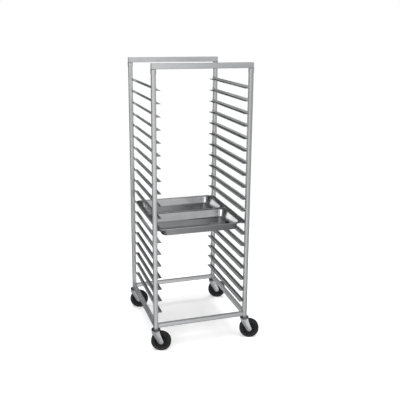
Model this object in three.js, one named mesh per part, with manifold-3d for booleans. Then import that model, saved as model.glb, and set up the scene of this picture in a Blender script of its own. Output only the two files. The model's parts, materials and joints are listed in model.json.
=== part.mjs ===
// A mobile pan rack: welded aluminium square tube frame, nineteen pairs of angle runners,
// four swivel casters, and two shallow steel pans hung by their rims on one pair of runners.
// Millimetres, +Z up, +X to the right, -Y towards the front.
// The origin is on the floor, at the centre of the whole object's outline.

import * as THREE from 'three';
import { mergeVertices } from 'three/addons/utils/BufferGeometryUtils.js';
import Module from 'manifold-3d';

const wasm = await Module();
wasm.setup();

// Driving dimensions
const WIDTH = 610; // over the uprights, left to right
const DEPTH = 660; // over the uprights, front to rear
const HEIGHT = 1750; // floor to the top of the top rails
const TUBE = 25; // square tube, outside
const TUBE_WALL = 2;
const TUBE_CORNER = 3; // outside corner radius
const TOP_RAIL_HEIGHT = 32;
const FOOT_HEIGHT = 141; // floor to the lower end of the uprights
const BASE_RAIL_RISE = 8; // lower end of the uprights to the underside of the base rails
const WELD_GAP = 0.3; // root gap that a weld fills

const LEVELS = 19;
const PITCH = 75; // from one runner to the next
const LOWEST_LEVEL = 252; // floor to the upper face of the lowest flange
const FLANGE = 26; // runner flange that carries the pans
const WEB = 14; // runner web above the flange, welded to the uprights
const SHEET = 2; // thickness of the runner angle
const BEND = 2.5; // outside radius of the runner's bend

const WHEEL_RADIUS = 62.5;
const WHEEL_WIDTH = 32;
const TREAD_SHOULDER = 5;
const TYRE_INSIDE = 46; // radius inside which the wheel's sides are hollowed
const WEB_THICKNESS = 20;
const BORE_RADIUS = 5.1;
const AXLE_RADIUS = 5;
const AXLE_HEAD_RADIUS = 8.5;
const AXLE_HEAD_LENGTH = 5;
const HUB_LENGTH = 37;
const HUB_RADIUS = 14;
const TRAIL = 32; // swivel axis to axle, level
const TRAIL_ANGLE = -20; // degrees from +X towards +Y, the way the casters point at rest
const HEAD_RADIUS = 28;
const HEAD_HEIGHT = 7.5;
const SWIVEL_GAP = 0.5;
const CROWN_THICKNESS = 4;
const LEG_INSIDE = 20; // centre plane to the inner face of a leg
const LEG_THICKNESS = 3;
const LEG_TOP_BACK = 24; // the leg's upper edge, either side of the swivel axis
const LEG_TOP_FRONT = 26;
const LEG_SHOULDER = 10; // height of the leg's upright edges under the crown
const LEG_END_RADIUS = 16; // round end about the axle
const STEM_RADIUS = 6;
const STEM_BORE_RADIUS = 6.1;
const STEM_LENGTH = 30;
const PLUG_LENGTH = 44; // solid foot welded into the upright

const PAN_LENGTH = 530; // over the rim, left to right
const PAN_WIDTH = 325; // over the rim, front to rear
const PAN_DEPTH = 50;
const PAN_LEVEL = 12; // counted from the top
const PAN_SHEET = 1;
const RIM_WIDTH = 15;
const RIM_LIP = 4; // turned-down edge of the rim
const RIM_CORNER = 22;
const BODY_CORNER = 45; // of the wall, just under the rim
const BODY_TAPER = 11; // how far the wall leans in from rim to floor
const FLOOR_BEND = 7;
const PAN_SPACING = 8; // between the two rims

const CIRCLE_STEPS = 32;
const CORNER_STEPS = 6;

// Every caster trails the same way, so the centre of the outline lies this far from the centre
// of the frame, and each piece is placed back by as much.
const trailX = TRAIL * Math.cos(THREE.MathUtils.degToRad(TRAIL_ANGLE));
const trailY = TRAIL * Math.sin(THREE.MathUtils.degToRad(TRAIL_ANGLE));

const METALS = {
  aluminium: { color: 0xc3c6c8, roughness: 0.42, metalness: 0.9 },
  runner: { color: 0xa9adb0, roughness: 0.48, metalness: 0.9 },
  zinc: { color: 0xd0d2d2, roughness: 0.32, metalness: 0.95 },
  rubber: { color: 0x17181a, roughness: 0.72, metalness: 0 },
  stainless: { color: 0x9a9da1, roughness: 0.2, metalness: 1 },
};

const object = new THREE.Group();

function addPiece(name, geometry, finish, x, y, z, turn = 0) {
  const mesh = new THREE.Mesh(geometry, new THREE.MeshStandardMaterial(METALS[finish]));
  mesh.name = name;
  mesh.position.set(x - trailX, y - trailY, z);
  mesh.rotation.z = turn;
  object.add(mesh);
}

function toSolid(geometry) {
  const bare = geometry.clone();
  bare.deleteAttribute('normal');
  bare.deleteAttribute('uv');
  const merged = mergeVertices(bare, 1e-4);
  return new wasm.Manifold(
    new wasm.Mesh({
      numProp: 3,
      vertProperties: new Float32Array(merged.attributes.position.array),
      triVerts: new Uint32Array(merged.index.array),
    }),
  );
}

function toGeometry(solid) {
  const mesh = solid.getMesh();
  const geometry = new THREE.BufferGeometry();
  geometry.setAttribute('position', new THREE.BufferAttribute(mesh.vertProperties, 3));
  geometry.setIndex(new THREE.BufferAttribute(mesh.triVerts, 1));
  return geometry;
}

function roundedRectangle(width, height, radius, path = new THREE.Shape()) {
  const x = width / 2;
  const y = height / 2;
  path.moveTo(-x + radius, -y);
  path.lineTo(x - radius, -y);
  path.absarc(x - radius, -y + radius, radius, -Math.PI / 2, 0);
  path.lineTo(x, y - radius);
  path.absarc(x - radius, y - radius, radius, 0, Math.PI / 2);
  path.lineTo(-x + radius, y);
  path.absarc(-x + radius, y - radius, radius, Math.PI / 2, Math.PI);
  path.lineTo(-x, -y + radius);
  path.absarc(-x + radius, -y + radius, radius, Math.PI, 1.5 * Math.PI);
  return path;
}

// A hollow tube, open at both ends, from z = 0 up to its length.
function tube(width, height, length) {
  const outline = roundedRectangle(width, height, TUBE_CORNER);
  const hollow = roundedRectangle(
    width - 2 * TUBE_WALL,
    height - 2 * TUBE_WALL,
    TUBE_CORNER - TUBE_WALL,
    new THREE.Path(),
  );
  outline.holes.push(hollow);
  return new THREE.ExtrudeGeometry(outline, { depth: length, bevelEnabled: false, curveSegments: 3 });
}

function cylinder(radius, from, to) {
  const geometry = new THREE.CylinderGeometry(radius, radius, to - from, CIRCLE_STEPS);
  geometry.rotateX(Math.PI / 2);
  geometry.translate(0, 0, (from + to) / 2);
  return geometry;
}

// Upright tube with its welded foot: a plug inside the tube and the round fixed half of the
// swivel head under it, bored for the caster's stem. z = 0 is the lower end of the tube.
function uprightGeometry() {
  const inside = TUBE - 2 * TUBE_WALL;
  const plug = new THREE.BoxGeometry(inside + 1, inside + 1, PLUG_LENGTH);
  plug.translate(0, 0, PLUG_LENGTH / 2);
  const length = HEIGHT - TOP_RAIL_HEIGHT - WELD_GAP - FOOT_HEIGHT;
  const solid = toSolid(tube(TUBE, TUBE, length))
    .add(toSolid(plug))
    .add(toSolid(cylinder(HEAD_RADIUS, -HEAD_HEIGHT, 1)))
    .subtract(toSolid(cylinder(STEM_BORE_RADIUS, -HEAD_HEIGHT - 1, STEM_LENGTH + 2)));
  return toGeometry(solid);
}

function addUprights() {
  const x = (WIDTH - TUBE) / 2;
  const y = (DEPTH - TUBE) / 2;
  addPiece('upright_front_left', uprightGeometry(), 'aluminium', -x, -y, FOOT_HEIGHT);
  addPiece('upright_front_right', uprightGeometry(), 'aluminium', x, -y, FOOT_HEIGHT);
  addPiece('upright_rear_left', uprightGeometry(), 'aluminium', -x, y, FOOT_HEIGHT);
  addPiece('upright_rear_right', uprightGeometry(), 'aluminium', x, y, FOOT_HEIGHT);
}

// A tube laid along X, centred on its middle.
function crossTube(depth, height, length) {
  const geometry = tube(depth, height, length);
  geometry.translate(0, 0, -length / 2);
  geometry.rotateZ(Math.PI / 2);
  geometry.rotateY(Math.PI / 2);
  return geometry;
}

function addTopRails() {
  const y = (DEPTH - TUBE) / 2;
  const z = HEIGHT - TOP_RAIL_HEIGHT / 2;
  addPiece('top_rail_front', crossTube(TUBE, TOP_RAIL_HEIGHT, WIDTH), 'aluminium', 0, -y, z);
  addPiece('top_rail_rear', crossTube(TUBE, TOP_RAIL_HEIGHT, WIDTH), 'aluminium', 0, y, z);
}

function addBaseRails() {
  const x = (WIDTH - TUBE) / 2;
  const y = (DEPTH - TUBE) / 2;
  const z = FOOT_HEIGHT + BASE_RAIL_RISE + TUBE / 2;
  const across = WIDTH - 2 * TUBE - 2 * WELD_GAP;
  const along = DEPTH - 2 * TUBE - 2 * WELD_GAP;
  addPiece('base_rail_front', crossTube(TUBE, TUBE, across), 'aluminium', 0, -y, z);
  addPiece('base_rail_rear', crossTube(TUBE, TUBE, across), 'aluminium', 0, y, z);
  addPiece('base_rail_left', crossTube(TUBE, TUBE, along), 'aluminium', -x, 0, z, Math.PI / 2);
  addPiece('base_rail_right', crossTube(TUBE, TUBE, along), 'aluminium', x, 0, z, Math.PI / 2);
}

// Angle runner: the web stands up against the uprights, the flange points inwards.
// side is 1 for the left runner, whose flange points to +X, and -1 for the right one.
// y = 0 is the front end and z = 0 the flange's upper face.
function runnerGeometry(side) {
  const profile = new THREE.Shape();
  profile.moveTo(0, WEB);
  profile.lineTo(0, -SHEET + BEND);
  profile.absarc(BEND, -SHEET + BEND, BEND, Math.PI, 1.5 * Math.PI);
  profile.lineTo(FLANGE, -SHEET);
  profile.lineTo(FLANGE, 0);
  profile.lineTo(SHEET, 0);
  profile.lineTo(SHEET, WEB);
  profile.closePath();
  const geometry = new THREE.ExtrudeGeometry(profile, {
    depth: DEPTH,
    bevelEnabled: false,
    curveSegments: 3,
  });
  geometry.rotateX(Math.PI / 2);
  geometry.translate(0, DEPTH, 0);
  if (side < 0) {
    geometry.rotateZ(Math.PI);
    geometry.translate(0, DEPTH, 0);
  }
  return geometry;
}

function levelHeight(level) {
  return LOWEST_LEVEL + (LEVELS - level) * PITCH;
}

function addRunners() {
  const x = WIDTH / 2 - TUBE - WELD_GAP;
  for (let level = 1; level <= LEVELS; level += 1) {
    const number = String(level).padStart(2, '0');
    const z = levelHeight(level);
    addPiece(`left_runner_${number}`, runnerGeometry(1), 'runner', -x, -DEPTH / 2, z);
    addPiece(`right_runner_${number}`, runnerGeometry(-1), 'runner', x, -DEPTH / 2, z);
  }
}

// The angle at which a line from the point (x, y) touches the round end of a leg.
function tangentAngle(x, y, side) {
  const distance = Math.hypot(x - TRAIL, y);
  return Math.atan2(y, x - TRAIL) + side * Math.acos(LEG_END_RADIUS / distance);
}

// One leg of the fork, as an outline in the plane of the wheel: x along the trail, y up from
// the axle.
function legOutline() {
  const top = FOOT_HEIGHT - HEAD_HEIGHT - SWIVEL_GAP - WHEEL_RADIUS;
  const shape = new THREE.Shape();
  const shoulder = top - LEG_SHOULDER;
  const touchBack = tangentAngle(-LEG_TOP_BACK, shoulder, 1);
  const touchFront = tangentAngle(LEG_TOP_FRONT, shoulder, -1) + 2 * Math.PI;
  shape.moveTo(-LEG_TOP_BACK, top);
  shape.lineTo(-LEG_TOP_BACK, shoulder);
  shape.absarc(TRAIL, 0, LEG_END_RADIUS, touchBack, touchFront);
  shape.lineTo(LEG_TOP_FRONT, shoulder);
  shape.lineTo(LEG_TOP_FRONT, top);
  shape.closePath();
  return shape;
}

// Swivel fork with its crown, stem and axle. The swivel axis is z, the axle is at x = TRAIL,
// z = WHEEL_RADIUS, and z = 0 is the floor.
function forkGeometry() {
  const crownTop = FOOT_HEIGHT - HEAD_HEIGHT - SWIVEL_GAP;
  const reach = LEG_INSIDE + LEG_THICKNESS;
  const crown = new THREE.BoxGeometry(LEG_TOP_BACK + LEG_TOP_FRONT, 2 * reach, CROWN_THICKNESS);
  crown.translate((LEG_TOP_FRONT - LEG_TOP_BACK) / 2, 0, crownTop - CROWN_THICKNESS / 2);
  let solid = toSolid(crown);
  solid = solid.add(toSolid(cylinder(STEM_RADIUS, crownTop - 1, FOOT_HEIGHT + STEM_LENGTH)));
  for (const inner of [LEG_INSIDE, -LEG_INSIDE - LEG_THICKNESS]) {
    const leg = new THREE.ExtrudeGeometry(legOutline(), {
      depth: LEG_THICKNESS,
      bevelEnabled: false,
      curveSegments: 8,
    });
    leg.rotateX(Math.PI / 2);
    leg.translate(0, inner + LEG_THICKNESS, WHEEL_RADIUS);
    solid = solid.add(toSolid(leg));
  }
  const axle = cylinder(AXLE_RADIUS, -reach - 1, reach + 1);
  axle.rotateX(Math.PI / 2);
  axle.translate(TRAIL, 0, WHEEL_RADIUS);
  solid = solid.add(toSolid(axle));
  for (const from of [reach - 0.5, -reach - AXLE_HEAD_LENGTH]) {
    const head = cylinder(AXLE_HEAD_RADIUS, from, from + AXLE_HEAD_LENGTH + 0.5);
    head.rotateX(Math.PI / 2);
    head.translate(TRAIL, 0, WHEEL_RADIUS);
    solid = solid.add(toSolid(head));
  }
  return toGeometry(solid);
}

// Solid rubber wheel on its hub. The profile is half a section, turned about the axle.
function wheelGeometry() {
  const half = [
    [BORE_RADIUS, HUB_LENGTH / 2],
    [HUB_RADIUS, HUB_LENGTH / 2],
    [HUB_RADIUS + 2, WEB_THICKNESS / 2],
    [TYRE_INSIDE - 3, WEB_THICKNESS / 2],
    [TYRE_INSIDE, WHEEL_WIDTH / 2],
    [WHEEL_RADIUS - TREAD_SHOULDER, WHEEL_WIDTH / 2],
    [WHEEL_RADIUS, WHEEL_WIDTH / 2 - TREAD_SHOULDER],
  ];
  const lower = half.map(([radius, y]) => new THREE.Vector2(radius, -y));
  const upper = half.map(([radius, y]) => new THREE.Vector2(radius, y)).reverse();
  const profile = [...lower, ...upper, lower[0].clone()];
  const geometry = new THREE.LatheGeometry(profile, CIRCLE_STEPS);
  return toGeometry(toSolid(geometry));
}

function addCasters() {
  const x = (WIDTH - TUBE) / 2;
  const y = (DEPTH - TUBE) / 2;
  const turn = THREE.MathUtils.degToRad(TRAIL_ANGLE);
  const corners = {
    front_left: [-x, -y],
    front_right: [x, -y],
    rear_left: [-x, y],
    rear_right: [x, y],
  };
  for (const [corner, [cx, cy]] of Object.entries(corners)) {
    addPiece(`caster_fork_${corner}`, forkGeometry(), 'zinc', cx, cy, 0, turn);
    addPiece(
      `caster_wheel_${corner}`,
      wheelGeometry(),
      'rubber',
      cx + trailX,
      cy + trailY,
      WHEEL_RADIUS,
      turn,
    );
  }
}

// One closed loop of the pan: a rectangle with round corners at height z.
function panRing(halfX, halfY, corner, z) {
  const ring = [];
  for (let quarter = 0; quarter < 4; quarter += 1) {
    const centreX = (quarter === 0 || quarter === 3 ? 1 : -1) * (halfX - corner);
    const centreY = (quarter < 2 ? 1 : -1) * (halfY - corner);
    for (let step = 0; step <= CORNER_STEPS; step += 1) {
      const angle = ((quarter + step / CORNER_STEPS) * Math.PI) / 2;
      const x = centreX + corner * Math.cos(angle);
      const y = centreY + corner * Math.sin(angle);
      ring.push(new THREE.Vector3(x, y, z));
    }
  }
  return ring;
}

// A closed skin through rings that all have the same number of points, capped at both ends.
function loft(rings) {
  const count = rings[0].length;
  const positions = rings.flat().flatMap((point) => [point.x, point.y, point.z]);
  const index = [];
  for (let ring = 0; ring + 1 < rings.length; ring += 1) {
    for (let step = 0; step < count; step += 1) {
      const next = (step + 1) % count;
      const a = ring * count + step;
      const b = ring * count + next;
      index.push(a, b, b + count, a, b + count, a + count);
    }
  }
  const addCap = (ring, turned) => {
    const centre = positions.length / 3;
    positions.push(0, 0, rings[ring][0].z);
    for (let step = 0; step < count; step += 1) {
      const a = ring * count + step;
      const b = ring * count + ((step + 1) % count);
      index.push(...(turned ? [centre, b, a] : [centre, a, b]));
    }
  };
  addCap(0, true);
  addCap(rings.length - 1, false);
  const geometry = new THREE.BufferGeometry();
  geometry.setAttribute('position', new THREE.Float32BufferAttribute(positions, 3));
  geometry.setIndex(index);
  return geometry;
}

// Shallow pressed pan with leaning walls and a flat rim whose edge is turned down.
// z = 0 is the rim's lower edge, which rests on the runners.
function panGeometry() {
  const rimX = PAN_LENGTH / 2;
  const rimY = PAN_WIDTH / 2;
  const topX = rimX - RIM_WIDTH;
  const topY = rimY - RIM_WIDTH;
  const floorX = topX - BODY_TAPER;
  const floorY = topY - BODY_TAPER;
  const floorZ = RIM_LIP - PAN_DEPTH;
  const t = PAN_SHEET;
  const corner = BODY_CORNER - BODY_TAPER;
  const rings = [
    panRing(floorX - FLOOR_BEND, floorY - FLOOR_BEND, corner - FLOOR_BEND, floorZ),
    panRing(floorX, floorY, corner, floorZ + FLOOR_BEND),
    panRing(topX, topY, corner + BODY_TAPER, RIM_LIP - t),
    panRing(rimX - t, rimY - t, RIM_CORNER - t, RIM_LIP - t),
    panRing(rimX - t, rimY - t, RIM_CORNER - t, 0),
    panRing(rimX, rimY, RIM_CORNER, 0),
    panRing(rimX, rimY, RIM_CORNER, RIM_LIP),
    panRing(topX - t, topY - t, corner + BODY_TAPER - t, RIM_LIP),
    panRing(floorX - t, floorY - t, corner - t, floorZ + FLOOR_BEND),
    panRing(floorX - FLOOR_BEND, floorY - FLOOR_BEND, corner - FLOOR_BEND, floorZ + t),
  ];
  return loft(rings);
}

function addPans() {
  const z = levelHeight(PAN_LEVEL) + WELD_GAP;
  const y = (PAN_WIDTH + PAN_SPACING) / 2;
  addPiece('pan_front', panGeometry(), 'stainless', 0, -y, z);
  addPiece('pan_rear', panGeometry(), 'stainless', 0, y, z);
}

addUprights();
addTopRails();
addBaseRails();
addRunners();
addCasters();
addPans();

export default object;
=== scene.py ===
"""The finished look of a mobile pan rack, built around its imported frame.

The rack is a bare aluminium tube frame with nineteen pairs of angle runners, four zinc-plated
swivel casters with black rubber wheels, and two pressed stainless pans hung by their rims.
"""

import json
import logging
import math
from dataclasses import dataclass
from enum import Enum
from typing import Iterable, Sequence

import bmesh
import bpy
from mathutils import Matrix, Vector


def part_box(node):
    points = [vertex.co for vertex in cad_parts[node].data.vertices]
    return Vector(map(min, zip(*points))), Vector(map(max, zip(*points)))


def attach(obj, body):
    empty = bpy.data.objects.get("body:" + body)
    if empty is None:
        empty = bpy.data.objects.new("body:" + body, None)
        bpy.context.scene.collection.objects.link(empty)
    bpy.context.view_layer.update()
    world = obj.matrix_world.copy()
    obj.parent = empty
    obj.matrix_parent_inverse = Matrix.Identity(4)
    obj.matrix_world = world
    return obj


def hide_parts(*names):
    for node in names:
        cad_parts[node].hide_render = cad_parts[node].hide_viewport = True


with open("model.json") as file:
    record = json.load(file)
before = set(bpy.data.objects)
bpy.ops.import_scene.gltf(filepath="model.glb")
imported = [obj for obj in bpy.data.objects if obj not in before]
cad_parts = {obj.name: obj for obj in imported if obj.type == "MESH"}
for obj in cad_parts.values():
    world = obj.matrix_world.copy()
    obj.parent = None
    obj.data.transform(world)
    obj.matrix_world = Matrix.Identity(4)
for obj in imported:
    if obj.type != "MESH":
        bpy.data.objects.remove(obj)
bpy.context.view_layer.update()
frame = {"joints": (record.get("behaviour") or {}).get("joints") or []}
RACK_BODY = "rack_frame"
CORNERS = ("front_left", "front_right", "rear_left", "rear_right")
MM = 0.001
TURN = 2 * math.pi

log = logging.getLogger("pan_rack")

Ring = list[Vector]
Profile = Sequence[tuple[float, float]]
Stops = tuple[tuple[float, float], ...]
WeldLine = tuple[Sequence[Vector], bool]


class Axis(Enum):
    """A direction of the shared frame."""

    X = Vector((1, 0, 0))
    Y = Vector((0, 1, 0))
    Z = Vector((0, 0, 1))


# ---------------------------------------------------------------------------------------------
# Mesh building
# ---------------------------------------------------------------------------------------------


def arc(
    centre: tuple[float, float], radius: float, start: float, end: float, steps: int
) -> list[tuple[float, float]]:
    """Points along a circular arc.

    Args:
        centre: The arc's centre.
        radius: Its radius.
        start: Angle of the first point, in degrees.
        end: Angle of the last point, in degrees.
        steps: Number of straight steps between them.

    Returns:
        The points, both ends included.
    """
    points = []
    for step in range(steps + 1):
        angle = math.radians(start + (end - start) * step / steps)
        points.append((centre[0] + radius * math.cos(angle), centre[1] + radius * math.sin(angle)))
    return points


def rounded_ring(half_x: float, half_y: float, corner: float, z: float, steps: int = 5) -> Ring:
    """A rectangle with round corners, level at height z.

    Args:
        half_x: Half of its size along X.
        half_y: Half of its size along Y.
        corner: Radius of its corners.
        z: Its height.
        steps: Straight steps in each corner.

    Returns:
        The ring's points, anticlockwise from above.
    """
    ring = []
    for quarter in range(4):
        sign_x = 1 if quarter in (0, 3) else -1
        sign_y = 1 if quarter < 2 else -1
        centre = (sign_x * (half_x - corner), sign_y * (half_y - corner))
        for x, y in arc(centre, corner, 90 * quarter, 90 * (quarter + 1), steps):
            ring.append(Vector((x, y, z)))
    return ring


def loft(rings: Sequence[Ring], closed: bool = False, caps: bool = True) -> bmesh.types.BMesh:
    """A skin through rings that all have the same number of points.

    Args:
        rings: The rings in order.
        closed: True joins the last ring to the first, as for a tube with walls.
        caps: True fills the first and the last ring of an open row.

    Returns:
        The skin, with its faces pointing outwards.
    """
    shape = bmesh.new()
    rows = [[shape.verts.new(point) for point in ring] for ring in rings]
    count = len(rows[0])
    pairs = list(zip(rows, rows[1:]))
    if closed:
        pairs.append((rows[-1], rows[0]))
    for lower, upper in pairs:
        for step in range(count):
            after = (step + 1) % count
            shape.faces.new((lower[step], lower[after], upper[after], upper[step]))
    if caps and not closed:
        shape.faces.new(list(reversed(rows[0])))
        shape.faces.new(rows[-1])
    bmesh.ops.recalc_face_normals(shape, faces=shape.faces)
    return shape


def lathe(profile: Profile, steps: int = 64, upright: bool = False) -> bmesh.types.BMesh:
    """Turns a closed profile about an axis.

    Args:
        profile: Points (radius, height along the axis) round the section, not repeated at the end.
        steps: Straight steps in a full turn.
        upright: True turns about Z, otherwise about Y.

    Returns:
        The turned solid.
    """
    shape = bmesh.new()
    rows = []
    for radius, height in profile:
        row = []
        for step in range(steps):
            angle = TURN * step / steps
            across, along = radius * math.cos(angle), radius * math.sin(angle)
            point = (across, along, height) if upright else (across, height, along)
            row.append(shape.verts.new(point))
        rows.append(row)
    for lower, upper in zip(rows, rows[1:] + rows[:1]):
        for step in range(steps):
            after = (step + 1) % steps
            corners = (lower[step], lower[after], upper[after], upper[step])
            shape.faces.new(corners)
    bmesh.ops.remove_doubles(shape, verts=shape.verts, dist=1e-6)
    bmesh.ops.dissolve_degenerate(shape, edges=shape.edges, dist=1e-7)
    bmesh.ops.recalc_face_normals(shape, faces=shape.faces)
    return shape


def plate(outline: Profile, low: float, high: float, bevel: float) -> bmesh.types.BMesh:
    """A flat plate with softened edges, standing in the XZ plane.

    Args:
        outline: Points (x, z) round the plate.
        low: Y of its one face.
        high: Y of its other face.
        bevel: Size of the softened edges.

    Returns:
        The plate.
    """
    shape = loft([[Vector((x, y, z)) for x, z in outline] for y in (low, high)])
    rim = [edge for edge in shape.edges if len(edge.link_faces) == 2 and edge.calc_face_angle() > 0.9]
    bmesh.ops.bevel(shape, geom=rim, offset=bevel, segments=2, profile=0.6, affect="EDGES")
    return shape


def hexagon(across_flats: float, low: float, high: float) -> bmesh.types.BMesh:
    """A hexagonal bolt head or nut along Y with turned-off corners.

    Args:
        across_flats: Size over two opposite flats.
        low: Y of the seat.
        high: Y of the outer face.

    Returns:
        The head.
    """
    flat, per_side = across_flats / 2, 4
    angles = [TURN * step / (6 * per_side) for step in range(6 * per_side)]

    def ring(y: float, limit: float) -> Ring:
        """The hexagon at y, cut back to a circle of radius limit."""
        points = []
        for angle in angles:
            off = (angle + TURN / 12) % (TURN / 6) - TURN / 12
            radius = min(flat / math.cos(off), limit)
            points.append(Vector((radius * math.cos(angle), y, radius * math.sin(angle))))
        return points

    step = 0.14 * (high - low)
    return loft([ring(low, 2 * flat), ring(high - step, 2 * flat), ring(high, 0.99 * flat)])


def tube(width: float, height: float, length: float, wall: float, corner: float) -> bmesh.types.BMesh:
    """A rectangular tube along Z, from z = 0, with drawn corners and filed ends.

    Args:
        width: Outside size along X.
        height: Outside size along Y.
        length: Its length.
        wall: Thickness of its wall.
        corner: Outside corner radius.

    Returns:
        The hollow tube, open at both ends.
    """
    file_cut = 0.35 * MM
    x, y = width / 2, height / 2

    def ring(inset: float, z: float) -> Ring:
        """The outline drawn in by inset."""
        return rounded_ring(x - inset, y - inset, max(corner - inset, 0.6 * MM), z)

    return loft(
        [
            ring(file_cut, 0),
            ring(0, file_cut),
            ring(0, length - file_cut),
            ring(file_cut, length),
            ring(wall - file_cut, length),
            ring(wall, length - file_cut),
            ring(wall, file_cut),
            ring(wall - file_cut, 0),
        ],
        closed=True,
    )


def join(shapes: Iterable[bmesh.types.BMesh]) -> bmesh.types.BMesh:
    """Puts several shapes into one, each staying a closed body of its own."""
    joined = bmesh.new()
    for shape in shapes:
        part = bpy.data.meshes.new("part")
        shape.to_mesh(part)
        joined.from_mesh(part)
        bpy.data.meshes.remove(part)
        shape.free()
    return joined


def moved(shape: bmesh.types.BMesh, matrix: Matrix) -> bmesh.types.BMesh:
    """The shape, carried by a matrix, with its faces outwards even if the matrix mirrors it."""
    bmesh.ops.transform(shape, matrix=matrix, verts=shape.verts)
    if matrix.determinant() < 0:
        bmesh.ops.reverse_faces(shape, faces=shape.faces)
    return shape


def to_mesh(name: str, shape: bmesh.types.BMesh, crease: float = 38) -> bpy.types.Mesh:
    """Turns a shape into a mesh that is smooth except over creases.

    Args:
        name: The mesh's name.
        shape: The shape, which is used up.
        crease: Angle in degrees past which an edge stays sharp.

    Returns:
        The mesh.
    """
    mesh = bpy.data.meshes.new(name)
    shape.to_mesh(mesh)
    shape.free()
    mesh.shade_smooth()
    mesh.set_sharp_from_angle(angle=math.radians(crease))
    return mesh


def add_piece(
    name: str,
    mesh: bpy.types.Mesh,
    finish: bpy.types.Material,
    body: str,
    stands_for: Sequence[str] = (),
) -> bpy.types.Object:
    """Places a finished mesh in the scene, parents it to its body and hides the plain nodes it replaces.

    Args:
        name: The piece's name.
        mesh: Its mesh, in the shared frame.
        finish: Its material.
        body: The rigid body it moves with.
        stands_for: The plain nodes it replaces.

    Returns:
        The new object.
    """
    piece = bpy.data.objects.new(name, mesh)
    bpy.context.scene.collection.objects.link(piece)
    mesh.materials.clear()
    mesh.materials.append(finish)
    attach(piece, body)
    if stands_for:
        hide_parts(*stands_for)
    log.info("%s on %s, %d faces", name, body, len(mesh.polygons))
    return piece


# ---------------------------------------------------------------------------------------------
# Node trees
# ---------------------------------------------------------------------------------------------


class Wiring:
    """Adds nodes and links to one tree."""

    def __init__(self, tree: bpy.types.NodeTree) -> None:
        """Keeps the tree."""
        self.tree = tree

    def node(
        self, kind: str, values: dict[str, object] | None = None, **settings: object
    ) -> bpy.types.Node:
        """Adds a node.

        Args:
            kind: The node's type.
            values: Input name or number to a value or to the output socket that feeds it.
            **settings: The node's own properties.

        Returns:
            The node.
        """
        made = self.tree.nodes.new(kind)
        for key, value in settings.items():
            setattr(made, key, value)
        for key, value in (values or {}).items():
            if isinstance(value, bpy.types.NodeSocket):
                self.tree.links.new(value, made.inputs[key])
            else:
                made.inputs[key].default_value = value
        return made

    def math(self, operation: str, first: object, second: object = 0.0) -> bpy.types.NodeSocket:
        """The output of a Math node."""
        kind = "ShaderNodeMath"
        return self.node(kind, {0: first, 1: second}, operation=operation).outputs[0]

    def span(
        self, value: object, low: float, high: float, first: float, last: float
    ) -> bpy.types.NodeSocket:
        """Maps value from the range low to high onto the range first to last, and clamps it."""
        values = {0: value, 1: low, 2: high, 3: first, 4: last}
        return self.node("ShaderNodeMapRange", values).outputs[0]

    def blend(self, mask: object, first: object, second: object) -> bpy.types.NodeSocket:
        """A colour that goes from first to second as mask goes from 0 to 1."""
        mix = self.tree.nodes.new("ShaderNodeMix")
        mix.data_type = "RGBA"
        for name, value in (("Factor_Float", mask), ("A_Color", first), ("B_Color", second)):
            socket = next(s for s in mix.inputs if s.identifier == name)
            if isinstance(value, bpy.types.NodeSocket):
                self.tree.links.new(value, socket)
            else:
                socket.default_value = value
        return next(s for s in mix.outputs if s.identifier == "Result_Color")

    def noise(
        self, vector: object, scale: object, detail: float, rough: float = 0.55
    ) -> bpy.types.NodeSocket:
        """The value of a Noise texture."""
        values = {"Vector": vector, "Scale": scale, "Detail": detail, "Roughness": rough}
        return self.node("ShaderNodeTexNoise", values).outputs[0]


def new_tree(name: str, kind: str, inputs: dict[str, str], outputs: dict[str, str]) -> bpy.types.NodeTree:
    """An empty node group with its sockets.

    Args:
        name: The group's name.
        kind: Its tree type.
        inputs: Input name to socket type.
        outputs: Output name to socket type.

    Returns:
        The group, with its Group Input and Group Output nodes.
    """
    tree = bpy.data.node_groups.new(name, kind)
    for direction, sockets in (("INPUT", inputs), ("OUTPUT", outputs)):
        for socket, socket_type in sockets.items():
            tree.interface.new_socket(socket, in_out=direction, socket_type=socket_type)
    tree.nodes.new("NodeGroupInput").name = "in"
    tree.nodes.new("NodeGroupOutput").name = "out"
    return tree


FLOAT, VECTOR = "NodeSocketFloat", "NodeSocketVector"


def grain_group() -> bpy.types.NodeTree:
    """Long fine streaks along the direction in which the vector is compressed."""
    inputs = {"Vector": VECTOR, "Fineness": FLOAT}
    tree = new_tree("drawn_grain", "ShaderNodeTree", inputs, {"Streak": FLOAT, "Height": FLOAT})
    wiring, source = Wiring(tree), tree.nodes["in"].outputs
    fine = wiring.noise(source["Vector"], source["Fineness"], 4, 0.7)
    broad = wiring.noise(source["Vector"], wiring.math("DIVIDE", source["Fineness"], 7.0), 2)
    streak = wiring.math("ADD", wiring.math("MULTIPLY", fine, 0.6), wiring.math("MULTIPLY", broad, 0.4))
    out = tree.nodes["out"].inputs
    tree.links.new(wiring.span(streak, 0.32, 0.68, 0.0, 1.0), out["Streak"])
    tree.links.new(fine, out["Height"])
    return tree


def marks_group() -> bpy.types.NodeTree:
    """Patches where hands and cloths have dulled or polished a surface."""
    inputs = {"Vector": VECTOR, "Scale": FLOAT}
    tree = new_tree("handling_marks", "ShaderNodeTree", inputs, {"Mask": FLOAT, "Spots": FLOAT})
    wiring, source = Wiring(tree), tree.nodes["in"].outputs
    cloud = wiring.noise(source["Vector"], source["Scale"], 5, 0.62)
    speck = wiring.noise(source["Vector"], wiring.math("MULTIPLY", source["Scale"], 9.0), 3, 0.7)
    out = tree.nodes["out"].inputs
    tree.links.new(wiring.span(cloud, 0.38, 0.66, 0.0, 1.0), out["Mask"])
    tree.links.new(wiring.span(speck, 0.62, 0.74, 0.0, 1.0), out["Spots"])
    return tree


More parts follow.
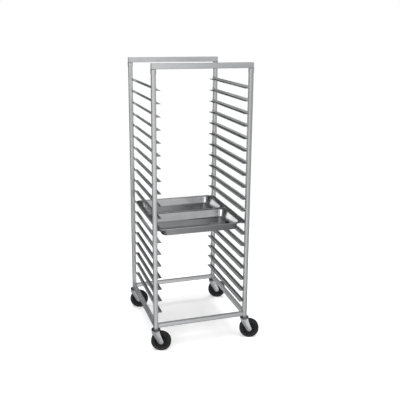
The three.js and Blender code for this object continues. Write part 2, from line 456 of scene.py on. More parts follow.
def dust_group() -> bpy.types.NodeTree:
    """Dust and floor dirt, thickest near the floor and on faces that look up."""
    inputs = {"Vector": VECTOR, "Reach": FLOAT}
    tree = new_tree("floor_dust", "ShaderNodeTree", inputs, {"Mask": FLOAT})
    wiring, source = Wiring(tree), tree.nodes["in"].outputs
    height = wiring.node("ShaderNodeSeparateXYZ", {0: source["Vector"]}).outputs[2]
    low = wiring.math("SUBTRACT", 1.0, wiring.math("DIVIDE", height, source["Reach"]))
    normal = wiring.node("ShaderNodeNewGeometry").outputs["Normal"]
    facing_up = wiring.node("ShaderNodeSeparateXYZ", {0: normal}).outputs[2]
    settle = wiring.span(facing_up, -0.2, 1.0, 0.35, 1.0)
    patches = wiring.span(wiring.noise(source["Vector"], 90.0, 5, 0.65), 0.4, 0.62, 0.1, 1.0)
    reached = wiring.math("MULTIPLY", wiring.math("MAXIMUM", low, 0.0), settle)
    mask = wiring.math("MULTIPLY", reached, patches)
    tree.links.new(mask, tree.nodes["out"].inputs["Mask"])
    return tree


def scratch_group() -> bpy.types.NodeTree:
    """Thin straight scratches along the direction in which the vector is compressed."""
    inputs = {"Vector": VECTOR, "Density": FLOAT}
    tree = new_tree("rub_scratches", "ShaderNodeTree", inputs, {"Mask": FLOAT})
    wiring, source = Wiring(tree), tree.nodes["in"].outputs
    values = {"Vector": source["Vector"], "Scale": source["Density"]}
    cells = wiring.node("ShaderNodeTexVoronoi", values, feature="DISTANCE_TO_EDGE").outputs[0]
    where = wiring.span(wiring.noise(source["Vector"], 2.0, 3), 0.45, 0.6, 0.0, 1.0)
    line = wiring.span(cells, 0.0, 0.035, 1.0, 0.0)
    tree.links.new(wiring.math("MULTIPLY", line, where), tree.nodes["out"].inputs["Mask"])
    return tree


GROUPS = {
    "grain": grain_group(),
    "marks": marks_group(),
    "dust": dust_group(),
    "scratches": scratch_group(),
}


# ---------------------------------------------------------------------------------------------
# Finishes
# ---------------------------------------------------------------------------------------------

Colour = tuple[float, float, float]


class Surface:
    """A material under construction: its tree, its shader and its coordinates."""

    def __init__(self, name: str, metallic: float, **constants: float) -> None:
        """Makes the material.

        Args:
            name: The material's name.
            metallic: Its metallic value.
            **constants: Further shader inputs, with underscores for spaces.
        """
        self.material = bpy.data.materials.new(name)
        self.material.use_nodes = True
        self.tree = self.material.node_tree
        self.wiring = Wiring(self.tree)
        self.shader = next(n for n in self.tree.nodes if n.type == "BSDF_PRINCIPLED")
        self.shader.inputs["Metallic"].default_value = metallic
        for key, value in constants.items():
            self.shader.inputs[key.replace("_", " ")].default_value = value
        self.place = self.wiring.node("ShaderNodeTexCoord").outputs["Object"]

    def stretched(self, x: float, y: float, z: float) -> bpy.types.NodeSocket:
        """The coordinates, scaled along each axis."""
        return self.wiring.node("ShaderNodeMapping", {"Vector": self.place, "Scale": (x, y, z)}).outputs[0]

    def along(self, axis: Axis, squeeze: float) -> bpy.types.NodeSocket:
        """The coordinates compressed along one axis, so that a pattern runs along it."""
        return self.stretched(*[squeeze if part else 1.0 for part in axis.value])

    def group(self, key: str, values: dict[str, object]) -> bpy.types.NodeOutputs:
        """Places one of the shared groups and returns its outputs."""
        node = self.tree.nodes.new("ShaderNodeGroup")
        node.node_tree = GROUPS[key]
        for name, value in values.items():
            if isinstance(value, bpy.types.NodeSocket):
                self.tree.links.new(value, node.inputs[name])
            else:
                node.inputs[name].default_value = value
        return node.outputs

    def feed(self, socket: str, value: bpy.types.NodeSocket) -> None:
        """Links a value to the shader."""
        self.tree.links.new(value, self.shader.inputs[socket])

    def bump(self, height: bpy.types.NodeSocket, distance: float, strength: float) -> None:
        """Feeds the shader's normal from a height."""
        values = {"Height": height, "Distance": distance, "Strength": strength}
        self.feed("Normal", self.wiring.node("ShaderNodeBump", values).outputs[0])


def rgba(colour: Colour, share: float = 1.0) -> tuple[float, float, float, float]:
    """A colour times share, with full alpha."""
    return tuple(part * share for part in colour) + (1.0,)


@dataclass(frozen=True)
class DrawnAluminium:
    """Bare aluminium tube or sheet with die lines along its length."""

    name: str
    axis: Axis
    colour: Colour = (0.71, 0.72, 0.73)
    dull: float = 0.3
    bright: float = 0.2
    scratched: float = 0.25
    toned: bool = False

    def make(self) -> bpy.types.Material:
        """Builds the material."""
        surface = Surface(self.name, 0.96)
        wiring = surface.wiring
        grain = surface.group("grain", {"Vector": surface.along(self.axis, 0.012), "Fineness": 900.0})
        marks = surface.group("marks", {"Vector": surface.along(self.axis, 0.4), "Scale": 11.0})
        rubs = {"Vector": surface.along(self.axis, 0.05), "Density": 150.0}
        scratch = wiring.math("MULTIPLY", surface.group("scratches", rubs)["Mask"], self.scratched)
        base = wiring.blend(grain["Streak"], rgba(self.colour, 0.9), rgba(self.colour, 1.06))
        base = wiring.blend(wiring.math("MULTIPLY", marks["Mask"], 0.35), base, rgba(self.colour, 0.82))
        if self.toned:
            tone = wiring.node("ShaderNodeAttribute", attribute_name="tone").outputs["Fac"]
            base = wiring.blend(wiring.math("MULTIPLY", tone, 0.3), base, rgba(self.colour, 0.8))
        base = wiring.blend(scratch, base, rgba((0.86, 0.87, 0.88)))
        surface.feed("Base Color", base)
        rough = wiring.span(grain["Streak"], 0.0, 1.0, self.bright, self.dull)
        rough = wiring.math("ADD", rough, wiring.math("MULTIPLY", marks["Mask"], 0.09))
        surface.feed("Roughness", wiring.math("SUBTRACT", rough, wiring.math("MULTIPLY", scratch, 0.1)))
        height = wiring.math("SUBTRACT", grain["Height"], wiring.math("MULTIPLY", scratch, 0.8))
        surface.bump(height, 0.00002, 0.1)
        return surface.material


@dataclass(frozen=True)
class WeldMetal:
    """Cast ripples of a weld with a sooty edge."""

    name: str = "weld_metal"
    colour: Colour = (0.5, 0.51, 0.52)

    def make(self) -> bpy.types.Material:
        """Builds the material."""
        surface = Surface(self.name, 0.92)
        wiring = surface.wiring
        marks = surface.group("marks", {"Vector": surface.place, "Scale": 160.0})
        base = wiring.blend(marks["Mask"], rgba(self.colour, 1.1), rgba(self.colour, 0.72))
        surface.feed("Base Color", base)
        surface.feed("Roughness", wiring.span(marks["Mask"], 0.0, 1.0, 0.34, 0.58))
        surface.bump(marks["Mask"], 0.0002, 0.4)
        return surface.material


@dataclass(frozen=True)
class ZincPlate:
    """Zinc plating, bright or darkened as painted shade, slightly clouded, with dirt towards the floor."""

    name: str
    colour: Colour
    cloud: Colour
    dull: float
    bright: float

    def make(self) -> bpy.types.Material:
        """Builds the material."""
        surface = Surface(self.name, 0.98)
        wiring = surface.wiring
        marks = surface.group("marks", {"Vector": surface.place, "Scale": 48.0})
        dirt = surface.group("dust", {"Vector": surface.place, "Reach": 0.16})["Mask"]
        base = wiring.blend(marks["Mask"], rgba(self.colour), rgba(self.cloud))
        base = wiring.blend(wiring.math("MULTIPLY", marks["Spots"], 0.3), base, rgba(self.cloud, 0.6))
        base = wiring.blend(wiring.math("MULTIPLY", dirt, 0.3), base, rgba((0.3, 0.28, 0.25)))
        surface.feed("Base Color", base)
        rough = wiring.span(marks["Mask"], 0.0, 1.0, self.bright, self.dull)
        surface.feed("Roughness", wiring.math("ADD", rough, wiring.math("MULTIPLY", dirt, 0.25)))
        surface.bump(marks["Mask"], 0.00015, 0.25)
        return surface.material


@dataclass(frozen=True)
class Rubber:
    """Black moulded rubber or plastic, greyed by the floor."""

    name: str
    colour: Colour
    dull: float
    bright: float
    dusty: float
    grit: float

    def make(self) -> bpy.types.Material:
        """Builds the material."""
        surface = Surface(self.name, 0.0, Specular_IOR_Level=0.3)
        wiring = surface.wiring
        marks = surface.group("marks", {"Vector": surface.place, "Scale": 60.0})
        dirt = surface.group("dust", {"Vector": surface.place, "Reach": 0.14})["Mask"]
        base = wiring.blend(marks["Mask"], rgba(self.colour), rgba(self.colour, 1.4))
        base = wiring.blend(wiring.math("MULTIPLY", dirt, self.dusty), base, rgba((0.2, 0.19, 0.175)))
        surface.feed("Base Color", base)
        surface.feed("Roughness", wiring.span(marks["Mask"], 0.0, 1.0, self.bright, self.dull))
        pores = wiring.noise(surface.place, 1400.0, 3, 0.6)
        surface.bump(pores, 0.0003, self.grit)
        return surface.material


@dataclass(frozen=True)
class PressedSteel:
    """Stainless sheet, pressed: rolled grain along X, draw marks on the walls, rubbed floor."""

    name: str = "pressed_stainless"
    colour: Colour = (0.54, 0.545, 0.555)

    def make(self) -> bpy.types.Material:
        """Builds the material."""
        surface = Surface(self.name, 1.0)
        wiring = surface.wiring
        grain = surface.group("grain", {"Vector": surface.along(Axis.X, 0.02), "Fineness": 700.0})
        draw = surface.group("grain", {"Vector": surface.along(Axis.Z, 0.1), "Fineness": 260.0})
        marks = surface.group("marks", {"Vector": surface.place, "Scale": 16.0})
        rubs = surface.group("scratches", {"Vector": surface.stretched(0.1, 1.0, 1.0), "Density": 260.0})
        base = wiring.blend(grain["Streak"], rgba(self.colour, 0.93), rgba(self.colour, 1.05))
        base = wiring.blend(wiring.math("MULTIPLY", marks["Mask"], 0.3), base, rgba(self.colour, 0.8))
        base = wiring.blend(wiring.math("MULTIPLY", rubs["Mask"], 0.08), base, rgba((0.75, 0.75, 0.76)))
        surface.feed("Base Color", base)
        rough = wiring.span(grain["Streak"], 0.0, 1.0, 0.14, 0.18)
        rough = wiring.math("ADD", rough, wiring.math("MULTIPLY", draw["Streak"], 0.03))
        surface.feed("Roughness", wiring.math("ADD", rough, wiring.math("MULTIPLY", marks["Mask"], 0.05)))
        surface.bump(grain["Streak"], 0.000004, 0.05)
        return surface.material


@dataclass(frozen=True)
class Finishes:
    """Every finish of the rack, made once."""

    tube_x: bpy.types.Material
    tube_y: bpy.types.Material
    tube_z: bpy.types.Material
    runner: bpy.types.Material
    weld: bpy.types.Material
    bright_zinc: bpy.types.Material
    dark_zinc: bpy.types.Material
    tyre: bpy.types.Material
    core: bpy.types.Material
    pan: bpy.types.Material

    @classmethod
    def make(cls) -> "Finishes":
        """Builds all the materials."""
        return cls(
            tube_x=DrawnAluminium("aluminium_tube_across", Axis.X).make(),
            tube_y=DrawnAluminium("aluminium_tube_along", Axis.Y).make(),
            tube_z=DrawnAluminium("aluminium_tube_upright", Axis.Z).make(),
            # The runners take a darker copy of the tube aluminium: painted shade for their webs, which
            # stand in shadow.
            runner=DrawnAluminium(
                "aluminium_runner_painted_shade", Axis.Y, (0.6, 0.61, 0.62), 0.24, 0.16, 0.12, toned=True
            ).make(),
            weld=WeldMetal().make(),
            bright_zinc=ZincPlate("bright_zinc", (0.72, 0.73, 0.74), (0.6, 0.62, 0.65), 0.34, 0.18).make(),
            # This copy of the zinc is darkened to paint the shade round the swivel heads, raceways and
            # hubs.
            dark_zinc=ZincPlate("dark_zinc", (0.24, 0.245, 0.25), (0.16, 0.165, 0.17), 0.46, 0.3).make(),
            tyre=Rubber("black_rubber", (0.012, 0.012, 0.013), 0.72, 0.5, 0.16, 0.35).make(),
            core=Rubber("black_nylon", (0.016, 0.016, 0.018), 0.5, 0.36, 0.12, 0.2).make(),
            pan=PressedSteel().make(),
        )


# ---------------------------------------------------------------------------------------------
# Repeats made by Geometry Nodes
# ---------------------------------------------------------------------------------------------

GEOMETRY, INTEGER, MATERIAL = "NodeSocketGeometry", "NodeSocketInt", "NodeSocketMaterial"


def end_tree(wiring: Wiring, geometry: bpy.types.NodeSocket) -> None:
    """Realizes the geometry, gives it the tree's material and sends it to the output."""
    tree = wiring.tree
    real = wiring.node("GeometryNodeRealizeInstances", {"Geometry": geometry}).outputs[0]
    material = tree.nodes["in"].outputs["Material"]
    done = wiring.node("GeometryNodeSetMaterial", {"Geometry": real, "Material": material}).outputs[0]
    tree.links.new(done, tree.nodes["out"].inputs["Geometry"])


def stack_tree() -> bpy.types.NodeTree:
    """Copies of the input one above another, each with a tone of its own."""
    inputs = {
        "Geometry": GEOMETRY,
        "Count": INTEGER,
        "Lowest": FLOAT,
        "Pitch": FLOAT,
        "Seed": INTEGER,
        "Material": MATERIAL,
    }
    tree = new_tree("runner_stack", "GeometryNodeTree", inputs, {"Geometry": GEOMETRY})
    wiring, source = Wiring(tree), tree.nodes["in"].outputs
    start = wiring.node("ShaderNodeCombineXYZ", {2: source["Lowest"]}).outputs[0]
    step = wiring.node("ShaderNodeCombineXYZ", {2: source["Pitch"]}).outputs[0]
    values = {"Count": source["Count"], "Start Location": start, "Offset": step}
    line = wiring.node("GeometryNodeMeshLine", values).outputs[0]
    values = {"Points": line, "Instance": source["Geometry"]}
    copies = wiring.node("GeometryNodeInstanceOnPoints", values).outputs[0]
    random = wiring.node("FunctionNodeRandomValue", data_type="FLOAT")
    tree.links.new(source["Seed"], next(s for s in random.inputs if s.name == "Seed"))
    tone = next(s for s in random.outputs if s.type == "VALUE" and s.enabled)
    store = wiring.node("GeometryNodeStoreNamedAttribute", data_type="FLOAT", domain="INSTANCE")
    tree.links.new(copies, store.inputs["Geometry"])
    store.inputs["Name"].default_value = "tone"
    tree.links.new(tone, next(s for s in store.inputs if s.name == "Value" and s.enabled))
    end_tree(wiring, store.outputs[0])
    return tree


def bead_tree() -> bpy.types.NodeTree:
    """A rippled weld bead along the edges of the input."""
    inputs = {
        "Geometry": GEOMETRY,
        "Radius": FLOAT,
        "Step": FLOAT,
        "Ripple": FLOAT,
        "Material": MATERIAL,
    }
    tree = new_tree("weld_bead", "GeometryNodeTree", inputs, {"Geometry": GEOMETRY})
    wiring, source = Wiring(tree), tree.nodes["in"].outputs
    line = wiring.node("GeometryNodeMeshToCurve", {"Mesh": source["Geometry"]}).outputs[0]
    values = {"Curve": line, "Length": source["Step"]}
    fine = wiring.node("GeometryNodeResampleCurve", values, mode="LENGTH").outputs[0]
    index = wiring.node("GeometryNodeInputIndex").outputs[0]
    wave = wiring.math("SINE", wiring.math("MULTIPLY", index, TURN / 3))
    swell = wiring.math("ADD", wiring.math("MULTIPLY", wave, source["Ripple"]), 1.0)
    swollen = wiring.node("GeometryNodeSetCurveRadius", {"Curve": fine, "Radius": swell}).outputs[0]
    values = {"Resolution": 6, "Radius": source["Radius"]}
    section = wiring.node("GeometryNodeCurvePrimitiveCircle", values).outputs[0]
    sweep = wiring.node("GeometryNodeCurveToMesh", {"Curve": swollen, "Profile Curve": section})
    sweep.inputs["Fill Caps"].default_value = True
    if "Scale" in sweep.inputs:
        tree.links.new(swell, sweep.inputs["Scale"])
    end_tree(wiring, wiring.node("GeometryNodeSetShadeSmooth", {0: sweep.outputs[0]}).outputs[0])
    return tree


def ring_tree() -> bpy.types.NodeTree:
    """Copies of the input turned about Y, evenly round a full turn."""
    inputs = {"Geometry": GEOMETRY, "Count": INTEGER, "Material": MATERIAL}
    tree = new_tree("rib_ring", "GeometryNodeTree", inputs, {"Geometry": GEOMETRY})
    wiring, source = Wiring(tree), tree.nodes["in"].outputs
    points = wiring.node("GeometryNodePoints", {"Count": source["Count"]}).outputs[0]
    share = wiring.math("DIVIDE", wiring.node("GeometryNodeInputIndex").outputs[0], source["Count"])
    turn = wiring.node("ShaderNodeCombineXYZ", {1: wiring.math("MULTIPLY", share, TURN)}).outputs[0]
    values = {"Points": points, "Instance": source["Geometry"], "Rotation": turn}
    end_tree(wiring, wiring.node("GeometryNodeInstanceOnPoints", values).outputs[0])
    return tree


def grow(seed: bpy.types.Mesh, tree: bpy.types.NodeTree, values: dict[str, object]) -> bpy.types.Mesh:
    """Runs a Geometry Nodes tree on a mesh.

    Args:
        seed: The mesh that goes in.
        tree: The tree.
        values: Input name to value.

    Returns:
        The plain mesh that comes out.
    """
    holder = bpy.data.objects.new("holder", seed)
    bpy.context.scene.collection.objects.link(holder)
    modifier = holder.modifiers.new("tree", "NODES")
    modifier.node_group = tree
    for item in tree.interface.items_tree:
        if item.in_out == "INPUT" and item.name in values:
            modifier[item.identifier] = values[item.name]
    graph = bpy.context.evaluated_depsgraph_get()
    mesh = bpy.data.meshes.new_from_object(holder.evaluated_get(graph), depsgraph=graph)
    bpy.data.objects.remove(holder)
    return mesh


def edge_mesh(lines: Iterable[WeldLine]) -> bpy.types.Mesh:
    """A mesh of edges only.

    Args:
        lines: Each line's points, and whether it closes on itself.

    Returns:
        The mesh.
    """
    points: list[Vector] = []
    edges: list[tuple[int, int]] = []
    for line, closes in lines:
        first = len(points)
        points.extend(line)
        edges.extend((first + step, first + step + 1) for step in range(len(line) - 1))
        if closes:
            edges.append((len(points) - 1, first))
    mesh = bpy.data.meshes.new("weld_lines")
    mesh.from_pydata(points, edges, [])
    return mesh


# ---------------------------------------------------------------------------------------------
# Sub-assemblies
# ---------------------------------------------------------------------------------------------


@dataclass
class TubeFrame:
    """Uprights, top rails and base rails of square tube, with collars and end caps."""

    finishes: Finishes
    wall: float = 2 * MM
    corner: float = 3 * MM
    head_height: float = 7.5 * MM
    collar_height: float = 27 * MM
    collar_step: float = 1.75 * MM
    cap_thickness: float = 1.6 * MM

    def upright_place(self, corner: str) -> tuple[Vector, float, float]:
        """The upright's centre on the floor, its foot height and its top height."""
        low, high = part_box(f"upright_{corner}")
        centre = (low + high) / 2
        return Vector((centre.x, centre.y, 0)), low.z + self.head_height, high.z

    @property
    def size(self) -> float:
        """Outside size of the square tube."""
        low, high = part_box("base_rail_front")
        return high.z - low.z

    def upright(self, corner: str) -> None:
        """Makes one upright with the fixed half of its swivel head and its top collar."""
        place, foot, top = self.upright_place(corner)
        shape = tube(self.size, self.size, top - foot, self.wall, self.corner)
        moved(shape, Matrix.Translation(place + Vector((0, 0, foot))))
        node = f"upright_{corner}"
        mesh = to_mesh("upright_tube", shape)
        add_piece(f"upright_tube_{corner}", mesh, self.finishes.tube_z, RACK_BODY, [node])
        self.swivel_head(corner, place, foot)
        self.collar(corner, place, top)

    def swivel_head(self, corner: str, place: Vector, foot: float) -> None:
        """The dished disc under the upright that holds the balls of the swivel."""
        base = foot - self.head_height
        radius, bore, shoulder = 28 * MM, 6.2 * MM, 19.5 * MM
        recess, recess_depth = 15 * MM, 1.2 * MM
        lower_edge, upper_edge = 1.4 * MM, 2.6 * MM
        profile = [
            (bore, base + recess_depth),
            (recess, base + recess_depth),
            (recess + 2 * MM, base),
            *arc((radius - lower_edge, base + lower_edge), lower_edge, -90, 0, 4),
            *arc((radius - upper_edge, foot - 3.1 * MM), upper_edge, 0, 78, 5),
            (shoulder, foot),
            (bore, foot),
        ]
        shape = moved(lathe(profile, 72, upright=True), Matrix.Translation(place))
        mesh = to_mesh("swivel_head", shape)
        node = f"upright_{corner}"
        name = f"swivel_head_{corner}"
        # Its darker zinc is painted shade.
        add_piece(name, mesh, self.finishes.dark_zinc, RACK_BODY, [node])

    def collar(self, corner: str, place: Vector, top: float) -> None:
        """The sleeve that joins the upright to the top rail."""
        outside = self.size + 2 * self.collar_step
        wall = self.collar_step - 0.1 * MM
        shape = tube(outside, outside, self.collar_height, wall, self.corner + self.collar_step)
        moved(shape, Matrix.Translation(place + Vector((0, 0, top - self.collar_height))))
        mesh = to_mesh("top_collar", shape)
        add_piece(f"top_collar_{corner}", mesh, self.finishes.tube_z, RACK_BODY)

    def rail(self, node: str) -> None:
        """Makes one rail, lying along the longer side of its node."""
        low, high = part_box(node)
        size, centre = high - low, (low + high) / 2
        along_x = size.x > size.y
        length, depth = (size.x, size.y) if along_x else (size.y, size.x)
        shape = tube(size.z, depth, length, self.wall, self.corner)
        moved(shape, Matrix.Translation((0, 0, -length / 2)))
        moved(shape, Matrix.Rotation(math.pi / 2, 4, "Y"))
        if not along_x:
            moved(shape, Matrix.Rotation(math.pi / 2, 4, "Z"))
        moved(shape, Matrix.Translation(centre))
        finish = self.finishes.tube_x if along_x else self.finishes.tube_y
        add_piece(f"{node}_tube", to_mesh(node, shape), finish, RACK_BODY, [node])

    def end_caps(self, node: str) -> None:
        """Welded plates that close the two ends of a top rail."""
        low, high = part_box(node)
        middle = (low + high) / 2
        play, cap_corner, recess = 0.1 * MM, 1.6 * MM, 0.6 * MM
        half_y = (high.y - low.y) / 2 - self.wall - play
        half_z = (high.z - low.z) / 2 - self.wall - play
        # Each ring is how far the crowned plate is drawn in, and its height over the tube's end.
        stations = ((1.2 * MM, 0.5 * MM), (0.4 * MM, play), (0, -play), (0, -play - self.cap_thickness))
        for side, end in (("left", low.x), ("right", high.x)):
            inward = 1 if side == "left" else -1
            rings = [
                rounded_ring(half_y - inset, half_z - inset, cap_corner, depth, 4)
                for inset, depth in stations
            ]
            shape = loft(rings)
            # The plate stands a little inside the tube's end, so its crown stays within the rail.
            place = end + inward * recess
            turn = Matrix(((0, 0, -inward, place), (1, 0, 0, middle.y), (0, 1, 0, middle.z), (0, 0, 0, 1)))
            moved(shape, turn)
            mesh = to_mesh("end_cap", shape)
            add_piece(f"{node}_cap_{side}", mesh, self.finishes.tube_y, RACK_BODY)

    def build(self) -> None:
        """Makes the whole frame."""
        for corner in CORNERS:
            self.upright(corner)
        for node in ("top_rail_front", "top_rail_rear"):
            self.rail(node)
            self.end_caps(node)
        for node in ("base_rail_front", "base_rail_rear", "base_rail_left", "base_rail_right"):
            self.rail(node)


class Side(Enum):
    """The side of the rack a runner is on: the sign of its X."""

    LEFT = -1
    RIGHT = 1


@dataclass
class RunnerStacks:
    """Nineteen angle runners up each side, rolled from sheet."""

    finishes: Finishes
    sheet: float = 2 * MM
    bend: float = 2.5 * MM
    end_round: float = 5 * MM
    levels: int = 19

    def node(self, side: Side, level: int) -> str:
        """The name of a runner's node."""
        return f"{side.name.lower()}_runner_{level:02d}"

    def section(self, flange: float, web: float) -> Profile:
        """The runner's section: x inwards from the web's outer face, z up from its underside."""
        sheet, bend = self.sheet, self.bend
        soft, inner = 0.35 * MM, 0.7 * MM
        return [
            *arc((soft, web - soft), soft, 90, 180, 2),
            *arc((bend, bend), bend, 180, 270, 5),
            *arc((flange - soft, soft), soft, -90, 0, 2),
            *arc((flange - soft, sheet - soft), soft, 0, 90, 2),
            *arc((sheet + inner, sheet + inner), inner, 270, 180, 3),
            *arc((sheet - soft, web - soft), soft, 0, 90, 2),
        ]

    def one(self, side: Side) -> bpy.types.Mesh:
        """One runner in its place along X and Y, with its underside at z = 0."""
        low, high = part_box(self.node(side, self.levels))
        flange, web = high.x - low.x, high.z - low.z
        # Each station is how far it lies from the end, and how much the flange is cut back there.
        corner = arc((self.end_round, self.end_round), self.end_round, 180, 270, 5)
        stations = sorted((near, cut) for near, cut in corner)
        ends = [(low.y + near, cut) for near, cut in stations]
        ends += [(high.y - near, cut) for near, cut in reversed(stations)]
        section = self.section(flange, web)
        shape = loft([[Vector((min(x, flange - cut), y, z)) for x, z in section] for y, cut in ends])
        if side is Side.LEFT:
            moved(shape, Matrix.Translation((low.x, 0, 0)))
        else:
            moved(shape, Matrix.Translation((high.x, 0, 0)) @ Matrix.Diagonal((-1, 1, 1, 1)))
        return to_mesh("runner", shape, 50)

    def build(self) -> None:
        """Makes both stacks."""
        tree = stack_tree()
        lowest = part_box(self.node(Side.LEFT, self.levels))[0].z
        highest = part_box(self.node(Side.LEFT, 1))[0].z
        for side in Side:
            values = {
                "Count": self.levels,
                "Lowest": lowest,
                "Pitch": (highest - lowest) / (self.levels - 1),
                "Seed": 7 + side.value,
                "Material": self.finishes.runner,
            }
            mesh = grow(self.one(side), tree, values)
            nodes = [self.node(side, level) for level in range(1, self.levels + 1)]
            name = f"runners_{side.name.lower()}"
            add_piece(name, mesh, self.finishes.runner, RACK_BODY, nodes)


@dataclass
class Welds:
    """Weld beads at every joint of the frame."""

    finishes: Finishes
    tubes: TubeFrame
    runners: RunnerStacks
    radius: float = 1.1 * MM
    step: float = 0.9 * MM
    ripple: float = 0.16

    def rail_loops(self) -> list[WeldLine]:
        """Loops round both ends of each base rail."""
        loops = []
        for node in ("base_rail_front", "base_rail_rear", "base_rail_left", "base_rail_right"):
            low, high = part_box(node)
            centre, half = (low + high) / 2, (high - low) / 2
            along_x = half.x > half.y
            reach = half.x if along_x else half.y
            for end in (-reach, reach):
                ring = rounded_ring(self.tubes.size / 2, self.tubes.size / 2, self.tubes.corner, end, 3)
                turned = [Vector((p.z, p.x, p.y)) if along_x else Vector((p.x, p.z, p.y)) for p in ring]
                loops.append(([centre + p for p in turned], True))
        return loops

    def upright_loops(self) -> list[WeldLine]:
        """Loops round each upright's foot and round the top of its collar."""
        loops = []
        for corner in CORNERS:
            place, foot, top = self.tubes.upright_place(corner)
            half = self.tubes.size / 2
            for z, grown in ((foot + 0.3 * MM, 0.2 * MM), (top - 0.4 * MM, self.tubes.collar_step)):
                size, round_ = half + grown, self.tubes.corner + grown
                loops.append(([place + p for p in rounded_ring(size, size, round_, z, 3)], True))
        return loops

    def runner_lines(self) -> list[WeldLine]:
        """Short lines above and below each runner where it crosses an upright."""
        lines = []
        reach = self.tubes.size / 2 - 3.5 * MM
        for side in Side:
            for level in range(1, self.runners.levels + 1):
                low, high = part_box(self.runners.node(side, level))
                x = (low.x if side is Side.LEFT else high.x) - side.value * 0.5 * MM
                for corner in ("front_left", "rear_left"):
                    y = self.tubes.upright_place(corner)[0].y
                    for z in (low.z - 0.1 * MM, high.z + 0.1 * MM):
                        ends = [Vector((x, y + way * reach, z)) for way in (-1, 1)]
                        lines.append((ends, False))
        return lines

    def build(self) -> None:
        """Makes the beads."""
        tree = bead_tree()
        sets = {
            "weld_beads_base": self.rail_loops(),
            "weld_beads_uprights": self.upright_loops(),
            "weld_beads_runners": self.runner_lines(),
        }
        for name, lines in sets.items():
            values = {
                "Radius": self.radius,
                "Step": self.step,
                "Ripple": self.ripple,
                "Material": self.finishes.weld,
            }
            mesh = grow(edge_mesh(lines), tree, values)
            add_piece(name, mesh, self.finishes.weld, RACK_BODY)


